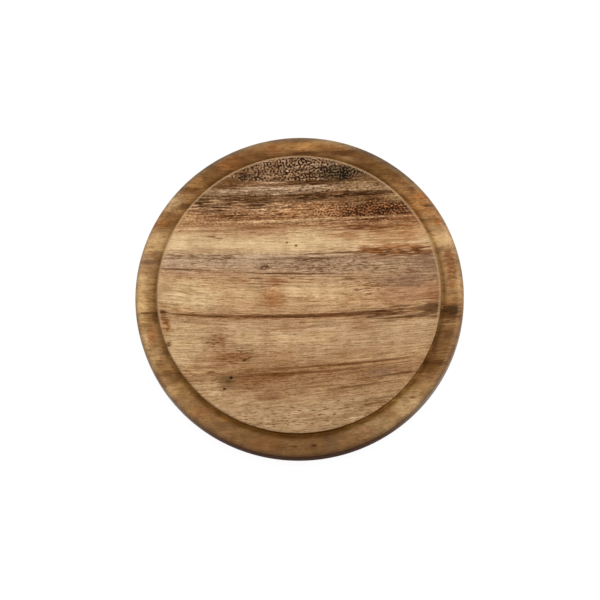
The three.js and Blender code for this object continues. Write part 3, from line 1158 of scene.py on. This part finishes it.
# %% Wood of the back stave
bands = [
    (51, 0xAC8058, 0.8), (54, 0xB0865E, 0.9), (58.5, 0xA47851, 1), (63, 0xA27752, 1.2),
    (68, 0x9A7352, 1.2), (72, 0x886545, 1), (76, 0x7C5B3A, 1), (79, 0x927253, 1),
    (82, 0xA48466, 0.9), (84.5, 0x886544, 1), (87, 0x74512F, 1),
]
figure = [
    patch(-62, 85, 22, 6, 0x7E5939),
    patch(0, 64, 34, 7, 0xB88658, 0.7),
    patch(-87, 60, 16, 8, 0xC69C6F),
    patch(74, 73.2, 11, 6, 0xA08056),
    patch(-50, 73.5, 34, 8, 0x745132, 0.75),
    marks(-52, 71, 52, 11, 0x3C2411, 16, 0.85, 0.47, 0.92, soft=0.4),
    marks(-50, 69, 50, 10, 0xC89E75, 18, 0.85, 0.51, 0.88, soft=0.4),
    marks(-48, 61.5, 20, 3.6, 0x644120, 8, 1.1, 0.44, 0.88),
    marks(-10, 62, 66, 9, 0x5C3719, 5, 0.85, 0.52, 0.93),
    marks(4, 65, 56, 9, 0xDAAE80, 6, 0.85, 0.54, 0.82),
    patch(-20, 81.2, 46, 3.8, 0xB09274, 0.9),
    patch(44, 80.4, 34, 3.4, 0xA8855F),
    marks(-30, 77.5, 24, 5, 0x4E341A, 1, 4, 0.5, 0.8),
    marks(20, 80, 66, 6, 0x3A2310, 2.6, 0.9, 0.52, 0.9),
    marks(-10, 81, 72, 4.5, 0xD0B08C, 10, 0.85, 0.52, 0.78),
    streak(-18, 88, 75.4, 3.4, 0x845F3F, 0.72, ragged=1),
    marks(30, 75.4, 56, 3.4, 0x40240E, 9, 0.9, 0.46, 0.92, soft=0.4),
    marks(9, 74.4, 18, 3.4, 0x422D16, 5, 1.1, 0.46, 0.88),
    marks(53, 75.8, 20, 2.6, 0x3A210D, 6, 1.3, 0.42, 0.93),
    marks(26, 68.5, 32, 5, 0x683F1F, 5, 0.9, 0.48, 0.85),
    curl(24, 63, 24, 8, 0x86532E, 0xCC9A6B, 2.4, 0, 0.9, soft=0.7),
    curl(56, 62, 44, 11, 0x341705, 0xA06C46, 2.4, 0.02, 0.97, soft=0.5),
    curl(62, 61.5, 28, 8, 0x200B00, 0x805230, 2.4, 0.03, 0.8, soft=0.7),
    patch(75, 70.8, 10, 3.2, 0xA6845A, 0.75),
    streak(-98, 100, 56.8, 1.3, 0xD6B184, 0.9, ragged=0.5),
    patch(84, 54, 17, 3.4, 0x8A5B37, 0.75),
    marks(60, 55, 45, 3.5, 0x683B1C, 9, 0.85, 0.47, 0.9),
    patch(-34, 87, 15, 3, 0x987556, 0.7),
    patch(14, 86.9, 44, 2, 0x5C3A20),
    marks(12, 85.6, 50, 2.6, 0x4A2C13, 10, 0.85, 0.46, 0.9, soft=0.4),
    streak(-36, -6, 86.8, 1.1, 0xCCA37E, ragged=0.6),
    streak(26, 66, 85.2, 1.2, 0xBE9E72),
    streak(-2, 50, 87.6, 1.4, 0x2E1C0C, 0.9, ragged=0.7),
]
dress("back_stave", "back_wood", bands, figure,
      grain=dict(Middle=70, Rise=2.6, Fan=0, Bow=1.6, Tilt=0.25, Cup=-0.01, Waver=0.4),
      lines=dict(spacing=2.8, thin=0.05, dark=0.5, pale=0.5),
      pores=dict(amount=0.28, strength=0.3), seed=14.2, specks=0.9, warm=0.4)

# %% [markdown]
# ## Back edge stave
#
# The darkest stave: nearly black, wormy figure with light flecks in the middle of the disc, and a
# warmer brown out on the rim.

# %% Wood of the back edge stave
bands = [
    (86, 0x7A5735, 1), (97, 0x7E5C3A, 1), (106, 0x86603D, 1), (112, 0x966C46, 0.9),
    (118, 0xA4784C, 0.8), (125, 0x986C46, 0.8),
]
figure = [
    curl(0, 97, 64, 16, 0x281100, 0xB28F6E, 2.5, 0.015, 0.98, soft=0.3, deep=8),
    marks(-22, 97, 15, 5, 0xBE9874, 2.4, 1.6, 0.5, 0.55, deep=8),
    marks(12, 90, 40, 3, 0x2E1806, 2.6, 1.4, 0.5, 0.6, deep=8),
    curl(-40, 93, 10, 4, 0x221304, 0x8E6E50, 2.3, 0.02, 0.85, deep=8),
    curl(33, 93.5, 33, 11, 0x0A0300, 0x745B3E, 2.3, 0.05, 0.98, deep=8),
]
dress("back_edge_stave", "back_edge_wood", bands, figure,
      grain=dict(Middle=98, Rise=1.5, Fan=0, Bow=1.5, Tilt=0.2, Cup=0.008, Waver=0.4),
      lines=dict(spacing=3.2, thin=0.04, dark=0.4, pale=0.3),
      pores=dict(amount=0.28, strength=0.3), seed=17.6, specks=0.5, warm=0.4)
